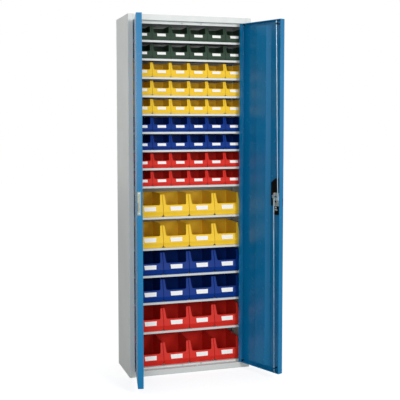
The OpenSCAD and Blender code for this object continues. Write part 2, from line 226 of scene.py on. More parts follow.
def galvanised(name, spangle_mm):
    """Hot-dipped strip: every Voronoi cell is one zinc crystal with its own shade and gloss."""
    material, tree, place = new_material(name)
    cells = add_node(tree, "ShaderNodeTexVoronoi",
                     inputs={"Vector": place, "Scale": 1 / (spangle_mm * MM)})
    shade = add_node(tree, "ShaderNodeSeparateColor",
                     inputs={"Color": cells.outputs["Color"]}).outputs["Red"]
    close_material(
        tree, Base__Color=tint(tree, shade, "#A9AFB2", "#C4CACC"), Metallic=1.0,
        Roughness=spread(tree, shade, 0.34, 0.50), Normal=bump(tree, shade, 0.01))
    return material


zinc_rod = zinc_plated("zinc_plated_steel", "#A8CADF", "#BEDDEF", 25, 0.38)
zinc_cast = zinc_plated("die_cast_zinc", "#C6CBCC", "#E6EAEA", 6, 0.36)
zinc_olive = zinc_plated("olive_passivated_zinc", "#83897B", "#999F8F", 8, 0.42)
galvanised_strip = galvanised("galvanised_steel", 8)
print("metals:", zinc_rod.name, zinc_cast.name, zinc_olive.name, galvanised_strip.name)

# %% [markdown]
# The lock housing and the lever are black polyamide with a leather-like mould grain, the buffers
# are matt rubber, and the cards in the bins are plain uncoated board with a faint fibre.

# %% Polyamide, rubber and card
def dull_material(name, dark, light, grain_mm, depth_mm, roughness):
    """A dull material with one grain that carries both its relief and its change of shade."""
    material, tree, place = new_material(name)
    grain = noise(tree, place, grain_mm, 3.0)
    close_material(
        tree, Base__Color=tint(tree, grain, dark, light), IOR=1.5, Specular__IOR__Level=0.1,
        Roughness=spread(tree, grain, roughness - 0.05, roughness + 0.06),
        Normal=bump(tree, grain, depth_mm))
    return material


polyamide = dull_material("polyamide_black", "#040405", "#0A0A0B", 1.2, 0.05, 0.50)
rubber = dull_material("rubber_light_grey", "#B9BDBB", "#C2C6C4", 0.8, 0.03, 0.80)
card_board = dull_material("uncoated_card", "#F3F2EE", "#FBFAF7", 2.0, 0.02, 0.75)
print("dull materials:", polyamide.name, rubber.name, card_board.name)

# %% [markdown]
# ## Helpers for surfaces
# Nearly everything on a cabinet is a grid: a folded sheet is a bent line carried along a straight
# one, a rod is a circle carried along a path, a moulded block is an outline drawn in a little at
# its edges. So one function turns a grid of points into faces, and the others work out the points.

# %% Grids
HOLE_SIDES = 24


def lay(x, y, z):
    """Puts three arrays of coordinates together as points, repeating the shorter ones."""
    return np.stack(np.broadcast_arrays(x, y, z), axis=-1).astype(float)


def grid(points, ring=False, capped=False, missing=(), holes=None):
    """Faces between the neighbours of a grid of points, given as rows of columns.

    With ring the last column joins the first, and with capped the first and the last row are
    closed. Cells in missing stay open. A cell in holes gets a circle about its middle, in its own
    plane, and four faces that run from the circle to the corners of the cell.
    """
    rows, columns = points.shape[:2]
    index = np.arange(rows * columns).reshape(rows, columns)
    if ring:
        index = np.hstack([index, index[:, :1]])
    quads = np.stack([index[:-1, :-1], index[:-1, 1:], index[1:, 1:], index[1:, :-1]], axis=-1)
    keep = np.ones(quads.shape[:2], bool)
    for cell in [*missing, *(holes or {})]:
        keep[cell] = False
    faces = quads[keep].tolist()
    if capped:
        faces += [index[0, :columns].tolist(), index[-1, :columns].tolist()]
    points = points.reshape(-1, 3)
    for cell, radius in (holes or {}).items():
        corners = quads[cell]
        middle = points[corners].mean(axis=0)
        across = points[corners[1]] - points[corners[0]]
        along = points[corners[3]] - points[corners[0]]
        turn = (np.arange(HOLE_SIDES)[:, None] / HOLE_SIDES * 2 - 0.75) * np.pi
        circle = (middle + radius * np.cos(turn) * across / np.linalg.norm(across)
                  + radius * np.sin(turn) * along / np.linalg.norm(along))
        quarter = HOLE_SIDES // 4
        for k in range(4):
            arc = len(points) + np.arange(quarter * (k + 1), quarter * k - 1, -1) % HOLE_SIDES
            faces.append([int(corners[k]), int(corners[(k + 1) % 4]), *arc.tolist()])
        points = np.vstack([points, circle])
    return points, faces


def bend(corners, radius, steps=3):
    """Rounds the corners of a line. Each becomes an arc that touches both sides of the corner.

    The arc's centre lies on the line that halves the corner, and a point on it is a spoke turned
    from the first side's touching point towards the second's.
    """
    corners = np.array(corners, float)
    here = corners[1:-1]
    a, b = corners[:-2] - here, corners[2:] - here
    a /= np.linalg.norm(a, axis=1, keepdims=True)
    b /= np.linalg.norm(b, axis=1, keepdims=True)
    half = np.arccos((a * b).sum(axis=1, keepdims=True)) / 2
    middle = (a + b) / np.linalg.norm(a + b, axis=1, keepdims=True)
    centre = here + middle * radius / np.sin(half)
    first, last = (here + side * radius / np.tan(half) - centre for side in (a, b))
    total = (np.pi - 2 * half)[:, None]
    part = np.linspace(0, 1, steps + 1)[None, :, None]
    spokes = np.sin((1 - part) * total) * first[:, None] + np.sin(part * total) * last[:, None]
    arcs = centre[:, None] + spokes / np.sin(total)
    return np.vstack([corners[:1], arcs.reshape(-1, corners.shape[1]), corners[-1:]])

# %% Making a piece
MERGE = 0.002
SHARP_DEGREES = 32


def make_piece(name, patches, body, finish, stands_for=(), wall=0.0):
    """Joins patches of points and faces into one mesh and makes it part of the cabinet.

    Points are in millimetres. Doubles are merged and the faces turned outwards before a wall gets
    its thickness, equally to both sides. Sharp edges stay sharp, and normals weighted by area
    keep flat faces flat beside round bends.
    """
    starts = np.cumsum([0, *(len(points) for points, faces in patches)])
    points = np.vstack([points for points, faces in patches]) * MM
    faces = [[k + start for k in face]
             for start, (_, some) in zip(starts.tolist(), patches) for face in some]
    used, where = np.unique(np.concatenate(faces), return_inverse=True)
    cuts = np.cumsum([len(face) for face in faces])[:-1]
    mesh = bpy.data.meshes.new(name)
    mesh.from_pydata(points[used].tolist(), [], [part.tolist() for part in np.split(where, cuts)])
    work = bmesh.new()
    work.from_mesh(mesh)
    bmesh.ops.remove_doubles(work, verts=work.verts, dist=MERGE * MM)
    bmesh.ops.recalc_face_normals(work, faces=work.faces)
    work.to_mesh(mesh)
    work.free()
    mesh.shade_smooth()
    mesh.set_sharp_from_angle(angle=math.radians(SHARP_DEGREES))
    mesh.materials.append(finish)
    piece = bpy.data.objects.new(name, mesh)
    bpy.context.scene.collection.objects.link(piece)
    if wall:
        sheet = piece.modifiers.new("wall", "SOLIDIFY")
        sheet.thickness = wall * MM
        sheet.offset = 0
        sheet.use_even_offset = True
    normals = piece.modifiers.new("normals", "WEIGHTED_NORMAL")
    normals.keep_sharp = True
    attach(piece, body)
    if stands_for:
        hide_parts(*stands_for)
    print(f"{name}: {len(mesh.polygons)} faces on {body}")
    return piece

# %% [markdown]
# ## The carcass
# The cabinet is bent from 1 mm sheet. Each side wall, its front post and its rear flange are one
# sheet with four bends. A bend in 1 mm steel has an inner radius of about 1 mm, so the middle of
# the sheet turns on 1.5 mm. The line below runs along the middle of the sheet, half a millimetre
# inside the CAD's outer faces.

# %% Side walls
WIDTH, DEPTH, HEIGHT = 700, 300, 1980
HALF_W, FRONT, BACK = WIDTH / 2, -DEPTH / 2, DEPTH / 2
JAMB, POST_BACK, REAR_FLANGE = 322, -119, 330
SHEET, BEND = 1.0, 1.5
MID = SHEET / 2

wall_x, front_y, back_y = HALF_W - MID, FRONT + MID, BACK - MID
side_line = bend([(REAR_FLANGE, back_y), (wall_x, back_y), (wall_x, front_y),
                  (JAMB + MID, front_y), (JAMB + MID, POST_BACK - MID),
                  (wall_x - 2, POST_BACK - MID)], BEND)
side_heights = np.array([0, HEIGHT - SHEET])
for side, sign in (("right", 1), ("left", -1)):
    wall_points = lay(sign * side_line[:, :1], side_line[:, 1:], side_heights)
    make_piece(f"{side}_side_sheet", [grid(wall_points)], "carcass", grey_coat,
               [f"{side}_side"], wall=SHEET)

# %% [markdown]
# The header is a sheet with a front, a ledge and the lip that the doors close against. The plinth
# is made the same way, and its foot is turned in under the cabinet. The ledges have round holes
# for the pivot pins and for the end of a locking rod, so the stations along the sheet are set out
# round those holes, and each hole takes one cell of the grid. The ledge is a strip of its own
# between two bends, whose radius is a hair smaller so that their arcs end just short of it.

# %% Header, plinth and floor
HEADER_Z, PLINTH_Z, FLOOR_Z = 1949, 31, 42
STOP_Y, STOP_DROP = -117, 15
PIVOT_X, PIVOT_Y, PIN_HOLE = 311, -144, 3.2
ROD_X, ROD_Y, LEDGE_HOLE = 43.5, -130.5, 7.0
FOOT = 40

stations = np.array([-JAMB, -PIVOT_X - 6, -PIVOT_X + 6, ROD_X - 8, ROD_X + 8, PIVOT_X - 6,
                     PIVOT_X + 6, JAMB], float)
lip_y = STOP_Y + MID
ledge_ys = [PIVOT_Y - 4, PIVOT_Y + 4, ROD_Y - 7.5, ROD_Y + 7.5, lip_y - BEND]


def ledge_strip(z):
    """The flat ledge between two bends, with its three round holes."""
    points = lay(stations, np.array(ledge_ys)[:, None], z)
    return grid(points, holes={(0, 1): PIN_HOLE, (0, 5): PIN_HOLE, (2, 3): LEDGE_HOLE})


def folded(line):
    """A bent line in y and z carried along x."""
    return grid(lay(stations, line[:, :1], line[:, 1:]))


ledge_bend = BEND - 0.01
near, far = ledge_ys[0], ledge_ys[-1]
foot_x, foot_y = HALF_W - FOOT, BACK - FOOT
inner_x, inner_y = HALF_W - SHEET, BACK - 2 * SHEET
above, below = HEADER_Z + MID, PLINTH_Z - MID
header_front = bend([(front_y, HEIGHT - SHEET), (front_y, above), (near, above)], ledge_bend)
header_lip = bend([(far, above), (lip_y, above), (lip_y, HEADER_Z - STOP_DROP)], ledge_bend)
plinth_front = bend([(-foot_y, MID), (front_y, MID), (front_y, below), (near, below)], ledge_bend)
plinth_lip = bend([(far, below), (lip_y, below), (lip_y, FLOOR_Z - MID)], ledge_bend)
make_piece("header_sheet", [folded(header_front), ledge_strip(above), folded(header_lip)],
           "carcass", grey_coat, wall=SHEET)
make_piece("plinth_sheet", [folded(plinth_front), ledge_strip(below), folded(plinth_lip)],
           "carcass", grey_coat, ["base"], wall=SHEET)

floor_xs = np.array([-inner_x, -JAMB, JAMB, inner_x])
floor = grid(lay(floor_xs, np.array([[STOP_Y], [inner_y]]), FLOOR_Z - MID))
side_foot = lay(np.array([-inner_x, -foot_x]), np.array([[-foot_y], [inner_y]]), MID)
back_foot = lay(np.array([-foot_x, foot_x]), np.array([[foot_y], [inner_y]]), MID)
make_piece("floor_sheet", [floor, grid(side_foot), grid(side_foot * [-1, 1, 1]), grid(back_foot)],
           "carcass", grey_coat, wall=SHEET)

# %% [markdown]
# Trays, such as the shelves and the doors, are bent up on all four sides. Their surface is a stack
# of rectangular rings: each ring is the outline drawn in by some inset on each side, at some
# depth. The first ring is closed with one flat face, which is the panel itself.

# %% Trays
def rectangle(low, high, radius, across=(), up=(), steps=3):
    """A ring of points round a rectangle with round corners, anticlockwise from the lower left.

    across gives extra places on the lower and upper sides, and up on the right and left sides. A
    corner is a quarter turn of a spoke about a centre that lies one radius inside both sides.
    """
    (a0, b0), (a1, b1) = low, high
    turn = np.linspace(0, np.pi / 2, steps + 1)
    across, up = np.array(across, float), np.array(up, float)

    def corner(a, b, first):
        return lay(a + radius * np.cos(turn + first), b + radius * np.sin(turn + first), 0)

    return np.vstack([
        lay(across, b0, 0), corner(a1 - radius, b0 + radius, -np.pi / 2),
        lay(a1, up, 0), corner(a1 - radius, b1 - radius, 0),
        lay(across[::-1], b1, 0), corner(a0 + radius, b1 - radius, np.pi / 2),
        lay(a0, up[::-1], 0), corner(a0 + radius, b0 + radius, np.pi)])[:, :2]


def tray(size, rows, radius, place, across=(), up=(), **cells):
    """A sheet bent up on four sides. Each row gives the insets of its ring and its depth.

    The insets are those of the left, right, lower and upper side. The corner radius of a ring is
    the tray's own radius less the inset, and at least a tenth of a millimetre.
    """
    (a0, b0), (a1, b1) = size
    rings = [rectangle((a0 + left, b0 + low), (a1 - right, b1 - high),
                       max(radius - max(left, right, low, high), 0.1), across, up)
             for (left, right, low, high), depth in rows]
    flat = np.array(rings)
    depth = np.array([row[1] for row in rows])[:, None]
    points = place(flat[..., 0], flat[..., 1], depth)
    shell, faces = grid(points, ring=True, **cells)
    return shell, [*faces, list(range(points.shape[1]))]


def rim_rows(depth, lips, first_bend=BEND, last_bend=BEND, extra=()):
    """Rows of a tray from its flat face, round the first bend, down the flange and into the lips.

    The rows follow the middle of the sheet: a quarter circle, a straight flange, a quarter
    circle, and at last the lip's own width on each side.
    """
    turn = np.linspace(0, np.pi / 2, 4)
    rows = [((MID + first_bend * (1 - math.sin(t)),) * 4, MID + first_bend * (1 - math.cos(t)))
            for t in turn]
    rows += [((MID,) * 4, v) for v in extra]
    rows += [((MID + last_bend * (1 - math.cos(t)),) * 4,
              depth - MID - last_bend * (1 - math.sin(t))) for t in turn]
    return rows + [(lips, depth - MID)]


print("points on a plain ring:", len(rectangle((0, 0), (10, 10), 1)))

# %% Solid forms
def slab(outline, rows, place):
    """A block: an outline carried along rows of inset and height, closed at both ends.

    A corner moves inwards by the sum of the normals of its two sides over one plus their product.
    """
    outline = np.array(outline, float)
    side = np.roll(outline, -1, axis=0) - outline
    side /= np.linalg.norm(side, axis=1, keepdims=True)
    after = np.stack([-side[:, 1], side[:, 0]], axis=1)
    before = np.roll(after, 1, axis=0)
    mitre = (before + after) / (1 + (before * after).sum(axis=1, keepdims=True))
    inset, height = np.array(rows, float).T[:, :, None, None]
    points = outline + inset * mitre
    return grid(place(points[..., 0], points[..., 1], height[..., 0]), ring=True, capped=True)


def rounded(corners, radius, steps=3):
    """A closed outline with every corner rounded."""
    return bend([corners[-1], *corners, corners[0]], radius, steps)[1:-1]


def turned(profile, place, sides=24):
    """A turned form: pairs of radius and height, carried round an axis and closed at both ends."""
    radius, height = np.array(profile, float).T[:, :, None]
    turn = np.arange(sides) / sides * 2 * np.pi
    return grid(place(radius * np.cos(turn), radius * np.sin(turn), height), ring=True, capped=True)


def rod(path, half_widths, place, sides=16, power=2.0):
    """A bar along z: a superellipse carried along a path, closed at both ends.

    A path gives u, v and z, and half_widths those along u and v. A point of the section is the
    cosine and the sine of its angle, each raised to 2 over the power with its sign kept.
    """
    path, half = np.array(path, float)[:, None], np.array(half_widths, float)[:, None]
    turn = np.arange(sides) / sides * 2 * np.pi
    bow = [np.sign(wave) * np.abs(wave) ** (2 / power) for wave in (np.cos(turn), np.sin(turn))]
    return grid(place(path[..., 0] + half[..., 0] * bow[0], path[..., 1] + half[..., 1] * bow[1],
                      path[..., 2]), ring=True, capped=True)


def frame_block(outer, inner, low, high, place):
    """A flat block with a hole: the outline goes up outside, over, and down inside the hole."""
    path = np.array([outer, outer, inner, inner, outer], float)
    height = np.array([low, high, high, low, low], float)[:, None]
    return grid(place(path[..., 0], path[..., 1], height), ring=True)


def copies(patches, places):
    """The same patches again at each of the given places."""
    return [(points + np.array(place, float), faces)
            for place in places for points, faces in patches]


def upright(x, y, z):
    """Leaves a piece the way it was drawn, in the cabinet's own x, y and z."""
    return lay(x, y, z)


print("a turned disc has", len(turned([(5, 0), (5, 1)], upright)[1]), "faces")

# %% Roof sheet and back
roof_outline = rounded([(-HALF_W, FRONT), (HALF_W, FRONT), (HALF_W, BACK), (-HALF_W, BACK)], 1.2)
roof_rows = [(0, HEIGHT - SHEET), (0, HEIGHT - 0.5), (0.3, HEIGHT - 0.1), (0.8, HEIGHT)]
make_piece("roof_sheet", [slab(roof_outline, roof_rows, upright)], "carcass",
           grey_coat, ["roof"])

back_xs = np.linspace(-inner_x, inner_x, 9)
back_zs = np.linspace(SHEET, HEIGHT - SHEET, 19)[:, None]
make_piece("back_sheet", [grid(lay(back_xs, back_y - SHEET, back_zs))], "carcass",
           grey_coat, ["back_panel"], wall=SHEET)

rivet = turned([(3.4, 0), (3.4, 0.3), (2.6, 0.9), (1.2, 1.2)],
               lambda a, b, h: lay(a, BACK + h, b), 12)
rivet_places = [(x, 0, z) for x in (-340, 340) for z in np.linspace(60, 1920, 12)]
make_piece("rear_rivets", copies([rivet], rivet_places), "carcass", grey_coat)

# %% [markdown]
# ## Shelves
# A shelf is a shallow tray turned upside down: edges folded down 12 mm, and a hem turned in at
# the front and the back so that no raw edge shows. The CAD's boxes give each shelf's place.

# %% Shelves
SHELVES = [f"shelf_{k:02d}" for k in range(1, 15)]
SHELF_T, HEM, END_LIP = 12, 11, 1.6


def shelf_tray(node):
    """A tray whose flat face is the top of the CAD's shelf and whose flanges run down."""
    low, high = (np.array(corner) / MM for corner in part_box(node))
    rows = rim_rows(SHELF_T, (END_LIP, END_LIP, HEM, HEM), last_bend=1.0)
    return tray((low[:2], high[:2]), rows, 2.0, lambda a, b, depth: lay(a, b, high[2] - depth))


for node in SHELVES:
    make_piece(node + "_sheet", [shelf_tray(node)], "carcass", grey_coat, [node],
               wall=SHEET)

# %% [markdown]
# ## Bins
# A bin is one continuous skin: an outline of 22 points goes round it, and rows of such outlines
# climb from the underside to the rim. Above the lip the cells of the front are left out, which
# opens the bin. The same outlines drawn in by the wall make the inside, and a half-round rim
# closes the two. The mouth's lower corners are quarter circles, so the posts beside it flow into
# the lip. Real bins taper towards the floor so that they leave the mould, and have a step under
# the rim that stiffens it, so both are in the widths below.

# %% Bin outlines
BIN_WALL = 2.2
SMALL_BIN = dict(size=(105, 165, 80), fold=17, lip=39, lip_y=6, toe=5, top_y=20, chamfer=(5, 6),
                 post=(9, 7), fillet=8, step=105.5, across=6, card=(49, 49, 21.5, 37.5))
LARGE_BIN = dict(size=(149, 234, 122), fold=28, lip=64, lip_y=9, toe=8, top_y=30, chamfer=(8, 10),
                 post=(15, 11), fillet=11, step=150.3, across=4, card=(70, 66, 33, 56))
FRONT_BEND, HALF_RING = 8, 11


def bin_skin(form, inward=0.0):
    """The grid of one face of the bin's wall, and the row of the lip.

    Height picks the front's y from its side outline, and the half width and the back's y from
    their tapers. A row then goes along the front, round a quarter circle, along the side, round
    a wider quarter circle, and back again mirrored in x.
    """
    width, depth, high = form["size"]
    top, step_low, step_high = high - BIN_WALL / 2, high - 7, high - 6
    side = bend([(0, form["toe"]), (form["fold"], 0), (form["lip"], form["lip_y"])], FRONT_BEND, 4)
    side = np.vstack([side, (top, form["top_y"])])
    low_x, low_z = form["chamfer"]
    arc = np.linspace(0, np.pi / 2, 5)
    corner = form["lip"] + form["fillet"] * (1 - np.cos(arc))
    marks = [1.2, low_z, form["lip"] - 3, form["lip"] - 2.4, step_low, step_high]
    z = np.unique(np.concatenate([side[:, 0], marks, corner]).round(3))
    lip = int(np.argmin(np.abs(z - form["lip"])))
    half = np.interp(z, [0, low_z, step_low, step_high],
                     width / 2 - np.array([low_x + 0.3, 0.3, 0.2, 0.1]))
    front = np.interp(z, side[:, 0], side[:, 1])
    back = np.interp(z, [0, step_low, step_high], depth - np.array([2, 1, 0.2]))
    post_low, post_high = form["post"]
    mouth = np.interp(z, [*corner, top], width / 2 - np.array(
        [*(post_low + form["fillet"] * (1 - np.sin(arc))), post_high]))
    drawn_in = np.where(z == 0, 1.2, 0) + inward
    half, front, back = half - drawn_in, front + drawn_in * 1.03, back - drawn_in
    z = z + np.where(z < 2, inward, 0)

    near, far = (1.0, 4.0) if inward else (1.2, 6.0)
    first = np.linspace(-np.pi / 2, 0, 4)
    last = np.linspace(0, np.pi / 2, 5)
    half, front, back, mouth = (some[:, None] for some in (half, front, back, mouth))
    x = np.hstack([mouth - 4, mouth, half - near + near * np.cos(first),
                   half - far + far * np.cos(last)])
    y = np.hstack([front, front, front + near + near * np.sin(first),
                   back - far + far * np.sin(last)])
    bead = (z > form["lip"] - 2.6) & (z < form["lip"] + 0.1) & (inward == 0)
    y[:, 0] -= np.where(bead, 1.2, 0)
    return lay(np.hstack([x, -x[:, ::-1]]), np.hstack([y, y[:, ::-1]]), z[:, None]), lip


def bin_patches(form):
    """One bin with its middle at x = 0, its front at y = 0 and its underside at z = 0."""
    (outer, lip), (inner, _) = bin_skin(form), bin_skin(form, BIN_WALL)
    top, last = len(outer) - 1, 2 * HALF_RING - 1
    gone = [(row, cell) for row in range(lip, top) for cell in (0, last - 1, last)]
    climb = list(range(lip + 1, top))
    rows = [top] * (last - 1) + climb[::-1] + [lip] * 4 + climb
    columns = [*range(1, last), *[last - 1] * len(climb), last - 1, last, 0, 1, *[1] * len(climb)]
    rise = 1 - np.clip((outer[climb, 1, 2] - form["lip"]) / form["fillet"], 0, 1)
    inwards = lay(np.sqrt(1 - rise ** 2), 0, rise)
    away = np.vstack([lay(np.zeros(last - 1), 0, 1), inwards[::-1], lay(np.zeros(4), 0.2, 1),
                      inwards * [-1, 1, 1]])
    a, b = outer[rows, columns], inner[rows, columns]
    turn = np.linspace(0, np.pi, 4)[:, None, None]
    gap = np.linalg.norm(a - b, axis=1, keepdims=True)
    rim = (a + b) / 2 + (a - b) / 2 * np.cos(turn) + gap / 2 * np.sin(turn) * away
    floors = [grid(np.stack([skin[0, :HALF_RING], skin[0, :HALF_RING - 1:-1]]))
              for skin in (outer, inner)]
    return [grid(outer, ring=True, missing=gone), grid(inner, ring=True, missing=gone),
            grid(rim, ring=True), *floors]


def on_front(form):
    """Places what is drawn flat on the sloping front: along x, up the slope, and out of it."""
    rise, run = form["lip"] - form["fold"], form["lip_y"]
    length = math.hypot(rise, run)

    def place(a, b, out):
        y, z = (b * run - out * rise) / length, (b * rise + out * run) / length
        return lay(a, y, form["fold"] + z)
    return place, lambda z: (z - form["fold"]) * length / rise

# %% [markdown]
# Each bin carries a blank card in a pocket: a thin U-shaped ledge, open at the top, on the sloping
# band of the front. The large bins' pockets are a little narrower at the bottom. The card is a
# separate piece, because it is board and not plastic.

# %% Pockets and cards
def pocket_and_card(form):
    """The U-shaped ledge and the card in it, both drawn on the sloping front."""
    place, up = on_front(form)
    wide, narrow, low_z, high_z = form["card"]
    top, bottom = up(high_z), up(low_z)
    a, b, ledge = wide / 2, narrow / 2, 2.2
    pocket = [(-a - ledge, top), (-b - ledge, bottom - ledge), (b + ledge, bottom - ledge),
              (a + ledge, top), (a, top), (b, bottom), (-b, bottom), (-a, top)]
    card = rounded([(-b + 0.3, bottom + 0.3), (b - 0.3, bottom + 0.3), (a - 0.3, top),
                    (-a + 0.3, top)], 0.8)
    return (slab(pocket, [(0, -0.6), (0, 0.8), (0.4, 1.2)], place),
            slab(card, [(0, 0.1), (0, 0.5), (0.1, 0.6)], place))


BIN_Y, BIN_LIFT, BIN_SHIFT = -113.5, 0.1, 4
LARGE_ROWS = 6
shelf_tops = [FLOOR_Z, *(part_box(node)[1].z / MM for node in SHELVES)]
rows_of_bins = sorted(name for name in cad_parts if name.startswith("bins_"))
shapes = {}
for form in (SMALL_BIN, LARGE_BIN):
    pocket, card = pocket_and_card(form)
    shapes[form["across"]] = ([*bin_patches(form), pocket], [card])


def bin_places(row, form, columns):
    """The places of some bins of a row, counted from the left."""
    middle = (form["across"] - 1) / 2
    return [((k - middle) * form["step"] + BIN_SHIFT, BIN_Y, shelf_tops[row] + BIN_LIFT)
            for k in columns]

# %% Rows of bins
ends = {}
for row, node in enumerate(rows_of_bins):
    form = LARGE_BIN if row < LARGE_ROWS else SMALL_BIN
    moulded, cards = shapes[form["across"]]
    colour = node.split("_")[-1]
    inner = bin_places(row, form, range(1, form["across"] - 1))
    make_piece(node + "_moulded", copies(moulded, inner), node,
               bin_plastic[colour], [node])
    make_piece(node + "_cards", copies(cards, inner), node, card_board)
    outer = bin_places(row, form, (0, form["across"] - 1))
    some = ends.setdefault(colour, ([], []))
    some[0].extend(copies(moulded, outer))
    some[1].extend(copies(cards, outer))

for colour, (moulded, cards) in ends.items():
    node = "end_bins_" + colour
    make_piece(node + "_moulded", moulded, "carcass", bin_plastic[colour], [node])
    make_piece(node + "_cards", cards, "carcass", card_board)

# %% [markdown]
# ## Doors
# A door is drawn closed in its own u, v and z: u from the hinge edge to the free edge, v from the
# outer face inwards. One function then turns it about its pivot to where it stands open. The right
# door is the mirror image of the left one, opened a little wider.

# %% Door frame of reference
DOOR_W, DOOR_T = 317.5, 30
DOOR_Z = (35, 1947)
PIVOT_U, PIVOT_V = 8, 6
OPEN_ANGLE = {"left": 101.0, "right": 112.5}
SLOT_V, SLOT_Z = (3.4, 7.1), (952, 996)
GUIDE_U, ROD_V = DOOR_W - 42, 19.5
LOCK_U, LOCK_Z = DOOR_W - 38, 986


def on_door(side):
    """A function that carries u, v and z to the cabinet: a turn about the pivot, then its place."""
    angle = math.radians(OPEN_ANGLE[side])
    sign = 1 if side == "right" else -1

    def place(u, v, z):
        a, b = u - PIVOT_U, v - PIVOT_V
        x = PIVOT_X - a * math.cos(angle) - b * math.sin(angle)
        return lay(sign * x, PIVOT_Y - a * math.sin(angle) + b * math.cos(angle), z)
    return place


def facing(side):
    """The same, for forms drawn flat in u and z that rise along v, away from the outer face."""
    place = on_door(side)
    return lambda a, b, height: place(a, height, b)

# %% [markdown]
# The door's panel is a tray with a wide lip at the hinge, narrow lips at both ends and a small
# hem at the free edge. The flange at the free edge has the slot that the lock's tongue passes, and
# the right door's end flanges have round holes for the rods. Four rows of the tray make its first
# bend. The slot lies between rows 4 and 5, and the rods' holes between rows 6 and 7.

# %% Door panels and stiffeners
LIP_WIDTHS = (24, 3, 4, 4)
DOOR_HOLE, HOLE_ROOM, CORNER_POINTS = 3.4, 4.4, 4

pan_rows = rim_rows(DOOR_T, LIP_WIDTHS, last_bend=0.6,
                    extra=(*SLOT_V, ROD_V - HOLE_ROOM, ROD_V + HOLE_ROOM))
stiffener_line = bend([(108, 1.5), (117.5, 1.5), (117.5, 13.5), (193.9, 13.5), (220.9, 1.5),
                       (231, 1.5)], 1.6)
for side in ("left", "right"):
    place = on_door(side)
    across = (GUIDE_U - 7, GUIDE_U + 7) if side == "right" else ()
    slot = len(across) + CORNER_POINTS
    holes = {(6, 0): DOOR_HOLE, (6, slot + 2 + CORNER_POINTS): DOOR_HOLE} if across else None
    pan = tray(((0, DOOR_Z[0]), (DOOR_W, DOOR_Z[1])), pan_rows, 1.8, facing(side), across, SLOT_Z,
               missing=[(4, slot)], holes=holes)
    make_piece(f"{side}_door_pan", [pan], f"{side}_door", blue_coat,
               [f"{side}_door_panel"], wall=SHEET)
    rib_zs = np.linspace(DOOR_Z[0] + 20, DOOR_Z[1] - 20, 9)
    rib = grid(place(stiffener_line[:, :1], stiffener_line[:, 1:], rib_zs))
    make_piece(f"{side}_door_rib", [rib], f"{side}_door", blue_coat,
               [f"{side}_door_stiffener"], wall=SHEET)

# %% [markdown]
# ## The lock
# The turning cam pulls the two rods in and out, and its tongue enters the other door. A black
# moulded housing with a bright die-cast plate holds it against the door skin. These forms are
# outlines with a rounded edge, and turned discs, all drawn about the spindle. The screws have a
# round recess.

# %% Housing and plate
CASE_V, PLATE_V = 11, (11.02, 12)


def at(side, u, z, v=0):
    """Places a form drawn about the place u, v and z on a door, rising along v, inwards."""
    place = on_door(side)
    return lambda a, b, height: place(u + a, v + height, z + b)


at_lock = at("right", LOCK_U, LOCK_Z)
case_outline = rounded([(-29, -85), (29, -85), (29, 115), (-12, 115), (-46, 91), (-46, -36),
                        (-29, -36)], 3)
housing = [slab(case_outline, [(0, 1.2), (0, 8.6), (0.7, 10.3), (2.2, CASE_V)], at_lock)]
for a in (-35.5, -26, -16.5, -7):
    ridge = rounded([(a, 44), (a + 4, 44), (a + 4, 82), (a, 82)], 1.8)
    housing.append(slab(ridge, [(0, 10.6), (0, 12.0), (0.8, 12.8)], at_lock))
lower_ridge = rounded([(-23.5, -81), (23.5, -81), (23.5, -69), (-23.5, -69)], 3)
housing.append(slab(lower_ridge, [(0, 10.6), (0.6, 12.2), (1.6, 12.6)], at_lock))
make_piece("lock_housing", housing, "right_door", polyamide, ["lock_case"])


def screw(place, radius, height, sides=20):
    """A pan head: a turned profile that rises, rounds over, and sinks into a round recess."""
    profile = [(1.0, 0), (1.0, 0.45), (0.8, 0.8), (0.45, 0.95), (0.4, 0.3)]
    return turned([(radius * r, height * h) for r, h in profile], place, sides)


plate_outline = rectangle((-27, -36), (27, 36), 6, steps=5)
window = rectangle((-21, -21), (21, 21), 20.9, steps=5)
plate = [frame_block(plate_outline, window, *PLATE_V, at_lock)]
screw_places = ((-20.5, 29.5, PLATE_V[1]), (20.5, -29.5, PLATE_V[1]), (-7.5, -44, CASE_V))
plate += [screw(at("right", LOCK_U + a, LOCK_Z + b, v), 4.2, 2.4) for a, b, v in screw_places]
make_piece("lock_plate_cast", plate, "right_door", zinc_cast, ["lock_plate"])

# %% Cam and tongue
CAM_R, CAM_V, PIN_R, LEVER_V = 26, (12.5, 15), 22, -23
PIN = PIN_R * math.cos(math.pi / 4)
ring_angles = np.arange(48) / 48 * 2 * np.pi
radii = np.array([5, 9.5, 20, CAM_R - 0.6])[:, None]
disc_points = at_lock(radii * np.cos(ring_angles), radii * np.sin(ring_angles), sum(CAM_V) / 2)
kidneys = [(1, k) for k in [*range(12, 17), *range(27, 35)]]
make_piece("cam_disc", [grid(disc_points, ring=True, missing=kidneys)], "handle", zinc_cast,
           wall=CAM_V[1] - CAM_V[0])

spindle_profile = [(5, LEVER_V), (5, CAM_V[1]), (7.5, CAM_V[1]), (7.5, 17), (6.5, 18), (3, 18),
                   (2.6, 16.6)]
spindle = turned(spindle_profile, at_lock)
tongue = slab(rounded([(-6, -46), (6, -46), (6, 5), (-6, 5)], 2.5),
              [(0.3, 4), (0, 4.3), (0, 6.2), (0.3, 6.5)], at_lock)
pin_profile = [(3, 14), (3, 21.7), (4.6, 21.7), (4.6, 22.6), (3.6, 23.2), (1.4, 23.2), (1.2, 22.6)]
pins = [turned(pin_profile, at("right", LOCK_U + way * PIN, LOCK_Z - way * PIN), 20)
        for way in (-1, 1)]
make_piece("cam_spindle", [spindle, tongue, *pins], "handle", zinc_cast, ["lock_cam"])

# %% [markdown]
# A locking rod is a 6 mm bar that is pressed flat at the lock end and punched with a cross slot.
# The slot lets the cam's pin move sideways while the rod itself goes straight. A small clip near
# each tip holds the rod off the door skin.

